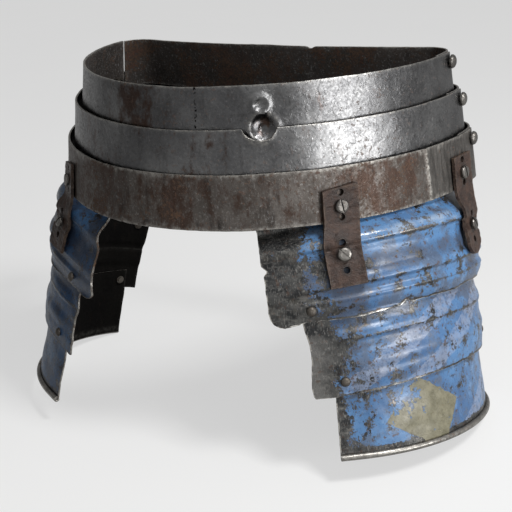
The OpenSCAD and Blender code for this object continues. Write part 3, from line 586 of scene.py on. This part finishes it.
def bottom_marks(run, z):
    """The same for the bottom hoop: the weld, rust before it and ground steel after it."""
    seam = run - seam_run - seam_slant * (lame_top[2] - z)
    bead = 1.1 * bell(seam, 1.8) * (1 + 0.6 * rough(run, z, 2.6, 9))
    wear = (0.9 + 0.7 * rough(run, z, 3, 27)) * bell(seam, 2.0)
    rust = 0.35 + 0.5 * bell(run - 200, 34) + 0.6 * bell(run - 12, 16) + 0.5 * bell(run + 75, 40)
    return bead, wear, rust if run < seam_run else -1.2


def front_sheet(k):
    """Wraps the front plate of hoop k with its beaten surface."""
    arcs, marks = front_arcs(k), (top_marks, middle_marks, bottom_marks)[k]
    right, left = arcs_length(arcs, front_end), arcs_length(arcs, left_end)
    top, low = lame_top[k], lame_low[k]

    def spot(s, t):
        run = -left + (right + left) * s
        here_top = top + 0.5 * rough(run, 0, 55, 1 + k) + 0.18 * rough(run, 0, 6, 2 + k)
        here_low = low + 0.5 * rough(run, 9, 60, 3 + k) + 0.25 * rough(run, 9, 7, 4 + k)
        if k == 1:
            here_top -= dent_edge(run)
        z = here_low + (here_top - here_low) * t
        mark, mark_wear, stain = marks(run, z)
        more = 0.7 * rough(run, z, 48, 5 + k) + 0.22 * rough(run, z, 15, 6 + k) + mark
        edge = min(abs(z - here_top), abs(z - here_low), right - run, run + left)
        wear = max(bell(edge, 1.1 if k < 2 else 1.5 + 6 * max(0.0, rough(run, z, 6, 39))), mark_wear)
        point, out = along(arcs, run)
        return point + out * (flare * (top - z) + more) + Vector((0, 0, z)), wear, (run, z), stain

    return spot, right + left


def back_sheet(k):
    """Wraps the back plate of hoop k, which passes inside the front plate on the right."""
    arcs, top, low = back_arcs(k), lame_top[k], lame_low[k]
    right, left = arcs_length(arcs, back_start), arcs_length(arcs, left_back_end)

    def spot(s, t):
        run = -left + (right + left) * s
        here_top = top + 0.8 * rough(run, 20, 50, 31 + k) + 0.2 * rough(run, 20, 6, 32 + k)
        here_low = low + 0.5 * rough(run, 29, 60, 33 + k)
        if k == 0:
            here_top -= 2.2 * bell(run - 40, 3.0)
        z = here_low + (here_top - here_low) * t
        calm = held((right - 40 - run) / 40)
        more = calm * (0.8 * rough(run, z, 45, 35 + k) + 0.25 * rough(run, z, 14, 36 + k))
        edge = min(abs(z - here_top), abs(z - here_low), right - run, run + left)
        point, out = along(arcs, run)
        place = point + out * (flare * (top - z) - (sheet + seat) + more) + Vector((0, 0, z))
        wear = bell(edge, 1.6 + 2.2 * max(0.0, rough(run, z, 5, 36)))
        return place, wear, (run, z), 0.3 + 0.6 * rough(run, z, 40, 37)

    return spot, right + left


def hoop_plate(k, part, wrapping, faces, materials):
    """One plate of hoop k. faces is the size of its grid's faces in millimetres."""
    spot, length = wrapping(k)
    name = f"{levels[k]}_lame_{part}"
    columns, rows = round(length / faces[0]), round((lame_top[k] - lame_low[k]) / faces[1])
    piece = made_sheet(name + "_plate", columns, rows, spot, lambda place: Vector((place.x, place.y - 20, 0)),
                       materials, sheet, eased_edge)
    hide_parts(name)
    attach(piece, levels[k] + "_lame")
    print(piece.name, "vertices", len(piece.data.vertices))


for k, outside in enumerate((steel_top, steel_out, steel_bottom)):
    # Below the top hoop the inside is near-black painted shade.
    inside = steel_in if k == 0 else steel_painted_shade
    hoop_plate(k, "front", front_sheet, (1.7, 1.5), (outside, inside, steel_edge))
    hoop_plate(k, "back", back_sheet, (2.2, 2.2), (steel_out if k < 2 else steel_bottom, inside, steel_edge))

# %% [markdown]
# ## The tassets' shapes
# A tasset plate is a sheet pressed into ridges that run round the thigh. Its plan is two arcs, and its
# section is a list of depths with how far out the sheet stands there, eased from one to the next. The whole
# tasset leans out and forwards from a point under the bottom hoop.

# %% Sizes of the tassets
tasset_turn, tasset_inset, tasset_rise, lean_out, lean_forward = 20.7, 22.4, 20.5, 14.7, 11.1
front_heading, face_r, face_run, side_r = 26.4, 550, 80, 152
plate_top, plate_low = (27, 97, 165), (120, 188, 248)
plate_start, plate_end = (12, 39, 58), (322, 328, 311)
upper_crest, lower_crest, rivet_up, rivet_in, lower_hang = 56, 91, 12, 9, 8.2
rim_d, rim_in, rim_turn = 6, 0.5, 285
strap_runs = (83, 227)
nested_in = 4.2
middle_out = 5.5 - nested_in
lower_out = middle_out - 2.4 - nested_in / 2

upper_press = [(27, 2), (34, 2), (53, 14.6), (56, 15), (59, 11.6), (66, 10.4), (80, 11.8), (88.5, 14.3),
               (91, 14.5), (94, 11.0), (99, 9.9), (104, 12.0), (106.5, 10.8), (120, 5.5)]
upper_soft = [(27, 2), (34, 2), (56, 14), (67, 12.2), (90, 13.4), (101, 11.0), (120, 5.5)]
middle_press = [(97, middle_out + 2), (120, middle_out), (127, middle_out + 0.2), (136, middle_out + 2.4),
                (139, middle_out + 2.8), (143, middle_out + 1.0), (152, middle_out + 0.6), (162, middle_out + 2.2),
                (172, middle_out + 0.4), (188, middle_out - 2.4)]
lower_press = [(165, lower_out - 1.4), (188, lower_out), (248, lower_out + 4.4)]


def pressed(turns, depth):
    """Offset of the outer face at a depth, eased from turn to turn."""
    for (d0, o0), (d1, o1) in zip(turns, turns[1:]):
        if depth < d1 or d1 == turns[-1][0]:
            return o0 + (o1 - o0) * (1 - cos(pi * held((depth - d0) / (d1 - d0)))) / 2


def plan_spot(run, more):
    """Point and outward direction on the tasset plan, in the tasset's own frame."""
    face_c = -face_r * facing(front_heading)
    if run <= face_run:
        turn, centre, radius = front_heading + degrees(run / face_r), face_c, face_r
    else:
        face_turn = degrees(face_run / face_r)
        turn = front_heading + face_turn + degrees((run - face_run) / side_r)
        centre, radius = face_c + (face_r - side_r) * facing(front_heading + face_turn), side_r
    return centre + (radius + more) * facing(turn), facing(turn)


tasset_at, tasset_out = along(front_arcs(2), (belly_r + 2 * step_belly) * radians(tasset_turn))
tasset_at = tasset_at - tasset_inset * tasset_out + Vector((0, 0, lame_low[2] + tasset_rise))
tasset_lean = Matrix.Rotation(radians(-lean_out), 3, "Y") @ Matrix.Rotation(radians(-lean_forward), 3, "X")


def from_tasset(point, side):
    """A point of the right tasset's frame in the shared frame, mirrored for the left."""
    world_point = tasset_at + tasset_lean @ point
    return Vector((side * world_point.x, world_point.y, world_point.z))


# The lower plate hangs turned about the line through its two rivets.
rivets = [plan_spot(run, lower_out)[0] - Vector((0, 0, plate_low[1] - rivet_up))
          for run in (plate_start[2] + rivet_in, plate_end[2] - rivet_in)]
lower_turn = (Matrix.Translation(rivets[0]) @ Matrix.Rotation(radians(lower_hang), 4, rivets[1] - rivets[0])
              @ Matrix.Translation(-rivets[0]))
print("tasset frame at", [round(c, 1) for c in tasset_at])

# %% [markdown]
# The cut edges follow the real plates: the front edge of the upper plate has a notch and a curled corner,
# its lower edge is torn and bent up in one place, and the middle plate's front edge waves. The lists hold
# (depth, run) down a front edge and (run, depth) along a lower edge, for the upper and the middle plate. The
# left plates are more sheltered: their paint reaches the front edge.

# %% Upper and middle plates
front_edges = {
    1: ([(27, 14), (34.6, 14.3), (62, 13), (67.3, 17.2), (71, 13.9), (103.2, 11.8), (110, 12.6), (115, 15),
         (118, 19), (120, 26)],
        [(97, 39), (120.4, 39.1), (139.4, 41.7), (153.8, 40.9), (176.5, 37), (184.5, 37.2), (188, 39.5)]),
    -1: ([(27, 24), (39, 22), (51.4, 18), (68, 13.7), (89, 12), (100, 13.6), (102, 12), (113, 13), (117, 17),
          (120, 25)],
         [(97, 42), (126.6, 43.5), (137, 38.6), (153.4, 40.8), (175, 38), (188, 38.5)])}
low_edges = {
    1: ([(12, 119), (38.6, 117.6), (60, 120.3), (82.8, 121), (100.9, 119.8), (119.6, 119.4), (127, 117),
         (130.3, 115.0), (134, 118.4), (144.3, 117.8), (163, 118.2), (190, 119), (217, 116.5), (240, 117),
         (322, 119.5)],
        [(36, 187), (54, 188.6), (98, 189.3), (136, 188.2), (178, 187.8), (226, 187), (328, 188)]),
    -1: ([(12, 119), (60, 119), (110, 120.5), (180, 118.5), (240, 119.5), (322, 119)],
         [(36, 188), (120, 187), (200, 188.8), (328, 187.5)])}
middle_soft = [(97, 2), (120, 0), (150, 1), (188, -2.2)]


def upper_form(run, depth, begin, low, seed):
    """Outward offset, wear of the crests, wear of the front, and stain with its painted shade and glint, of an
    upper plate.
    """
    sharp = held((run - 30) / 26) * (0.85 + 0.3 * rough(run, 3, 30, seed + 4))
    more = sharp * pressed(upper_press, depth) + (1 - sharp) * pressed(upper_soft, depth)
    free = held((depth - 60) / 8) * held((118 - depth) / 20)
    more += free * (0.9 * rough(run, depth, 33, seed + 5) + 0.35 * rough(run, depth, 12, seed + 6))
    lip = bell(run - 108, 26) + 0.8 * bell(run - 26, 10)
    more += 2.4 * lip * exp(-abs(low - depth) / 2.6)
    crest = bell(depth - 56.5, 1.6) + bell(depth - 91.5, 1.5) + 0.7 * bell(depth - 105, 1.2)
    crest_wear = sharp * min(1, crest) * (0.4 + 0.6 * rough(run, depth, 15, seed + 9))
    front_wear = min(0.72, (1.1 + 0.9 * rough(run, depth, 22, seed + 8)) * bell(run - begin, 34))
    # The stain is high in the valley between the first two crests as painted shade, and higher towards the front
    # and along the lower edge. On the wide crests it goes below 0: real polish, and a painted glint on the paint.
    crest_polish_and_glint = bell(depth - 52, 6) + 0.2 * bell(depth - 88, 4)
    stain = (bell(depth - 77, 11) + 0.5 * bell(run - begin, 60) + 0.7 * bell(depth - 116, 4)
             - 1.1 * crest_polish_and_glint * sharp)
    stain += sum(1.6 * bell(run - strap_run, 13, 4) for strap_run in strap_runs)
    return more, crest_wear, front_wear, stain


def middle_form(run, depth, begin, seed, bright):
    """The same for a middle plate. bright is how far its front is polished."""
    sharp = held((run - 45) / 20) * (0.9 + 0.4 * rough(run, 3, 30, seed + 4))
    more = sharp * pressed(middle_press, depth) + (1 - sharp) * (middle_out + from_list(middle_soft, depth))
    free = held((depth - 122) / 14) * held((186 - depth) / 12)
    more += free * (0.9 * rough(run, depth, 28, seed + 5) + 0.4 * rough(run, depth, 10, seed + 6))
    more += free * 1.2 * bell(run - begin - 3, 7) * rough(0, depth, 8, seed + 7)
    front_wear = min(0.74, (1.15 + 0.5 * rough(run, depth, 20, seed + 8)) * bell(run - begin, 24))
    # The stain is highest in a band just below the upper plate's edge, and a little behind the front.
    stain = 0.9 * bell(depth - 124, 7) + 0.4 * bell(run - begin - 45, 30) - bright * bell(run - begin, 26)
    return more, 0.4 * bell(depth - 139.5, 1.6), front_wear, stain


def plate_sheet(kind, side):
    """Wraps a flat grid on the outer face of an upper or a middle plate."""
    start, end, top = plate_start[kind], plate_end[kind], plate_top[kind]
    front, low_edge = front_edges[side][kind], low_edges[side][kind]
    seed = 40 + 10 * kind + (5 if side < 0 else 0)

    def spot(s, t):
        guess = start + (end - start) * s
        low = from_list(low_edge, guess) + 0.5 * rough(guess, 0, 5, seed) + 0.3 * rough(guess, 0, 17, seed + 1)
        depth = low + (top - low) * t
        begin = from_list(front, depth) + 0.4 * rough(depth, 0, 5, seed + 2)
        finish = end + 0.8 * rough(depth, 0, 20, seed + 3)
        run = begin + (finish - begin) * s
        if kind == 0:
            more, crest_wear, front_wear, stain = upper_form(run, depth, begin, low, seed)
        else:
            more, crest_wear, front_wear, stain = middle_form(run, depth, begin, seed, 0.8 if side > 0 else 0.1)
        edge = min(abs(low - depth), run - begin, finish - run)
        wear = max(bell(edge, 1.3), crest_wear, (1.0 if side > 0 else 0.1) * front_wear)
        point, _ = plan_spot(run, more)
        place = from_tasset(point - Vector((0, 0, depth)), side)
        # On the left plates the stain is raised a little as painted shade.
        return place, wear, (run, depth), stain + (0 if side > 0 else 0.1)

    return spot


def side_outwards(place):
    """Away from the thigh, for a piece on either side."""
    return Vector((copysign(1, place.x), -0.2, 0))


sides = ((1, "right"), (-1, "left"))
for kind, word in enumerate(("upper", "middle")):
    for side, side_word in sides:
        outside = paint_with_painted_shade if side < 0 else (paint_plain, paint_banded)[kind]
        columns = round((plate_end[kind] - plate_start[kind]) / 1.8)
        rows = round((plate_low[kind] - plate_top[kind]) / 1.15)
        materials = (outside, steel_painted_shade, steel_lip if side > 0 else steel_bottom)
        piece = made_sheet(f"{side_word}_{word}_tasset_sheet", columns, rows, plate_sheet(kind, side),
                           side_outwards, materials, sheet, eased_edge)
        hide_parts(f"{side_word}_{word}_plate")
        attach(piece, f"{side_word}_{word}")
print("upper and middle plates made")

# %% [markdown]
# The lower plate ends in a rolled rim: the sheet is turned outwards round a wire. The grid follows the inner
# face of the sheet down and then round the roll, because that face becomes the outside of the bead, and the
# thickness is given outwards. The rolled part is bare steel.

# %% Lower plates with their rolled rims
def lower_plate_piece(side, side_word, outside):
    """Lower plate whose sheet is rolled round the rim wire."""
    seed, rim_r = (70 if side > 0 else 75), rim_d / 2
    top, low = plate_top[2], plate_low[2]
    rim_out = pressed(lower_press, low) + rim_r - sheet - rim_in
    wall, roll = low - rim_r - top, radians(rim_turn) * rim_r

    def spot(s, t):
        length = (wall + roll) * (1 - t)
        begin = plate_start[2] + 0.4 * rough(length, 0, 6, seed)
        finish = plate_end[2] + 0.5 * rough(length, 0, 20, seed + 1)
        run = begin + (finish - begin) * s
        if length <= wall:
            depth = top + length
            free = held((depth - 190) / 14) * held((240 - depth) / 12)
            more = pressed(lower_press, depth) - sheet
            more += free * (0.9 * rough(run, depth, 30, seed + 2) + 0.35 * rough(run, depth, 11, seed + 3))
        else:
            a = pi + (length - wall) / rim_r
            more, depth = rim_out + rim_r * cos(a), low - rim_r - rim_r * sin(a)
        wear = max(bell(min(run - begin, finish - run), 1.3), 1.0 if length > wall + 1 else 0,
                   (0.74 if side > 0 else 0.1) * bell(run - begin, 12), 0.75 * bell(depth - 241, 3.0))
        place = from_tasset(lower_turn @ (plan_spot(run, more)[0] - Vector((0, 0, depth))), side)
        # On the left the stain is raised as painted shade.
        return place, wear, (run, depth), 0.0 if side > 0 else 0.3

    columns, rows = round((plate_end[2] - plate_start[2]) / 1.8), round((wall + roll) / 1.1)
    piece = made_sheet(f"{side_word}_lower_tasset_sheet", columns, rows, spot,
                       lambda place: -side_outwards(place), (steel_painted_shade, outside, steel_rim, steel_rim),
                       thickness=1.6, bevel=0.3)
    for face in piece.data.polygons:
        downs = [piece.data.uv_layers["plan"].data[i].uv[1] for i in face.loop_indices]
        if min(downs) > (low - rim_r + 0.3) * MM or face.index // columns < rows * roll / (wall + roll) - 1:
            face.material_index = 2
    print(piece.name, "vertices", len(piece.data.vertices))
    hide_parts(f"{side_word}_lower_plate")
    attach(piece, f"{side_word}_lower")


for (side, side_word), outside in zip(sides, (paint_patched, paint_with_painted_shade)):
    lower_plate_piece(side, side_word, outside)

# %% [markdown]
# ## Straps
# Each strap is one strip of leather. It lies on the bottom hoop, bends over its lower edge and lies on the
# plate's first crest and second crest, dipping in between where the screw pulls it down. The strip is cut
# flat first: holes are opened in the grid and their rims set round, then it is bent on its line.

# %% Straps
strap_w, strap_t, tongue_r, strap_top, strap_low, strap_lift, strap_over = 33, 3.5, 18, 19, 92, 0.9, 2.0
front_strap_turn, side_strap_turn, screw_up, screw_low = 45, 79.6, 14.5, 64
hole_step, hole_near, hole_above, hole_d, screw_hole_d = 14, 9.5, 12, 6, 5.6
lean_wall = atan(flare)
strap_crest = 15 + strap_lift
strap_slope = atan((14.5 + seat - strap_crest) / (lower_crest - upper_crest))


def strap_line(turn, run, side):
    """The strap's line: a function from a length down it to its inner face's middle, its width and outward
    directions, then its total length, its screws' places, and the points where it bends."""
    edge_z = lame_low[2] + 1
    wall_length = (lame_top[2] - strap_top - edge_z) / cos(lean_wall)
    hip_run = ((belly_r + 2 * step_belly) * radians(belly_turn)
               + (hip_r + 2 * step_hip) * radians(turn - belly_turn))
    point, out = along(front_arcs(2), hip_run)
    wall_out = (out + Vector((0, 0, flare))).normalized()
    edge_point = point + out * (flare * (lame_top[2] - edge_z)) + Vector((0, 0, edge_z)) + wall_out * seat
    across = Vector((0, 0, 1)).cross(out)
    wall_down = across.cross(wall_out)
    flat_point, flat_out = plan_spot(run, strap_crest)
    plate_across = Vector((0, 0, 1)).cross(flat_out)
    tilt = Matrix.Rotation(-strap_slope, 3, plate_across)
    plate_out, plate_down = tasset_lean @ (tilt @ flat_out), tasset_lean @ (tilt @ Vector((0, 0, -1)))
    plate_across = tasset_lean @ plate_across
    crest_point = tasset_at + tasset_lean @ (flat_point - Vector((0, 0, upper_crest)))
    bend = (crest_point - edge_point).length * 1.03
    mirror = Vector((side, 1, 1))

    def line(length):
        if length <= wall_length:
            spot, out_here, across_here = edge_point - wall_down * (wall_length - length), wall_out, across
        elif length >= wall_length + bend:
            spot = crest_point + plate_down * (length - wall_length - bend)
            out_here, across_here = plate_out, plate_across
        else:
            u = (length - wall_length) / bend
            h = (2 * u ** 3 - 3 * u ** 2 + 1, u ** 3 - 2 * u ** 2 + u, -2 * u ** 3 + 3 * u ** 2, u ** 3 - u ** 2)
            spot = h[0] * edge_point + h[1] * bend * wall_down + h[2] * crest_point + h[3] * bend * plate_down
            ease = u * u * (3 - 2 * u)
            across_here = (across * (1 - ease) + plate_across * ease).normalized()
            slope = ((6 * u * u - 6 * u) * edge_point + (3 * u * u - 4 * u + 1) * bend * wall_down
                     + (6 * u - 6 * u * u) * crest_point + (3 * u * u - 2 * u) * bend * plate_down).normalized()
            out_here = slope.cross(across_here)
        return spot * mirror, across_here * mirror, out_here.normalized() * mirror

    total = wall_length + bend + (strap_low - upper_crest) / cos(strap_slope)
    top_hole = wall_length - (screw_up - 1) / cos(lean_wall)
    low_hole = wall_length + bend + (screw_low - upper_crest)
    return line, total, top_hole, low_hole, edge_point * mirror, crest_point * mirror


def strap_piece(name, turn, run, side, tongue):
    """One leather strap with its holes, creases and cut edges."""
    line, total, top_hole, low_hole, bend_start, bend_end = strap_line(turn, run, side)
    holes = [(top_hole, screw_hole_d), (top_hole - hole_above, hole_d), (top_hole + hole_near, hole_d),
             (low_hole, screw_hole_d), (low_hole - hole_near, hole_d), (low_hole + hole_step, hole_d)]
    seed = 90 + round(turn) + (3 if side < 0 else 0)

    def flat_place(co):
        """Millimetres across and down the strip, from its grid."""
        return co.x * strap_w, -strap_over + (0.5 - co.y) * (total + strap_over)

    def cut(bm):
        """Opens the holes: faces inside go, and the rim of each is set round."""
        for middle, diameter in holes:
            gone = []
            for face in bm.faces:
                across, down = flat_place(face.calc_center_median())
                if hypot(across, down - middle) < diameter / 2:
                    gone.append(face)
            bmesh.ops.delete(bm, geom=gone, context="FACES")
            for vert in bm.verts:
                across, down = flat_place(vert.co)
                d = hypot(across, down - middle)
                if vert.is_boundary and 0 < d < diameter / 2 + 1.4:
                    grow = diameter / 2 / d
                    vert.co.x = across * grow / strap_w
                    vert.co.y = 0.5 - (strap_over + middle + (down - middle) * grow) / (total + strap_over)
        bmesh.ops.delete(bm, geom=[v for v in bm.verts if not v.link_faces], context="VERTS")

    def spot(s, t):
        across, length = (s - 0.5) * strap_w, -strap_over + (1 - t) * (total + strap_over)
        if tongue:
            drop = tongue_r - sqrt(max(0.0, tongue_r ** 2 - across ** 2))
            length -= drop * held((length - (total - 30)) / 30) ** 1.5
        else:
            length -= side * 0.14 * across * max(0.0, 1 - (length + strap_over) / 10)
        wave = 0.5 * rough(length, 0, 12, seed)
        across_here = across * (1 + 0.012 * rough(length, across, 9, seed + 1)) + wave * 0.6
        place, width_dir, out_dir = line(length)
        from_edge = min(strap_w / 2 - abs(across), length + strap_over, total - length)
        curl = 0.5 * bell(from_edge, 2.5)
        dip = -1.3 * bell(length - low_hole, 5.5) * held((abs(across) - 6) / 5)
        bulge = 0.9 * bell(length - low_hole + 14, 6) - 0.9 * bell(length - low_hole, 6)
        crease = -0.75 * (bell(length - low_hole + 6 + 0.08 * across, 1.3)
                          + bell(length - low_hole - 7 + 0.1 * across, 1.4)
                          + 0.8 * bell(length - top_hole - 5 + 0.12 * across, 1.1) * (1 if across > 6 else 0.2))
        grain = (0.45 * rough(length, across, 7, seed + 2)
                 + 0.35 * rough(length * 2.0 + across * 0.9, across * 0.5 - length * 0.3, 5, seed + 3))
        more = strap_t - 0.4 + curl * 0.6 + bulge + dip + crease + grain
        # Painted shade in a ring round each screw head, and a darker ring round each open hole. Both go to the
        # stain attribute.
        screw_shade_and_hole_rings = max(bell(hypot(across, length - middle) - (6.2 if diameter < hole_d else 3.4), 1.7)
                    for middle, diameter in holes)
        return place + width_dir * across_here + out_dir * more, bell(from_edge, 1.3), (across, length), screw_shade_and_hole_rings

    piece = made_sheet(name + "_leather", 30, round(total / 1.1), spot, side_outwards, (leather,),
                       thickness=strap_t - 0.7, bevel=0.5, cut=cut)
    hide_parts(name)
    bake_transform(piece)
    print(name, "length", round(total), "mm")


for side, word in sides:
    strap_piece(word + "_front_strap", front_strap_turn, strap_runs[0], side, False)
    strap_piece(word + "_side_strap", side_strap_turn, strap_runs[1], side, True)

# %% [markdown]
# The bolts, screws, rivets, washers, nuts and wires keep the solids' own shapes, because those are turned
# and cut parts with nothing to add but their finish.

# %% Finishes of the fasteners
finishes = {
    "bolt": steel_rim, "screws": steel_fastener, "washers": steel_nut, "nut": steel_nut, "burrs": steel_nut,
    "rivets": steel_nut, "wire": steel_rim}
for name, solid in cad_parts.items():
    for word, finish in finishes.items():
        if word in name and not solid.hide_render:
            if not solid.material_slots:
                solid.data.materials.append(finish)
            for slot in solid.material_slots:
                slot.material = finish
print("fasteners finished")
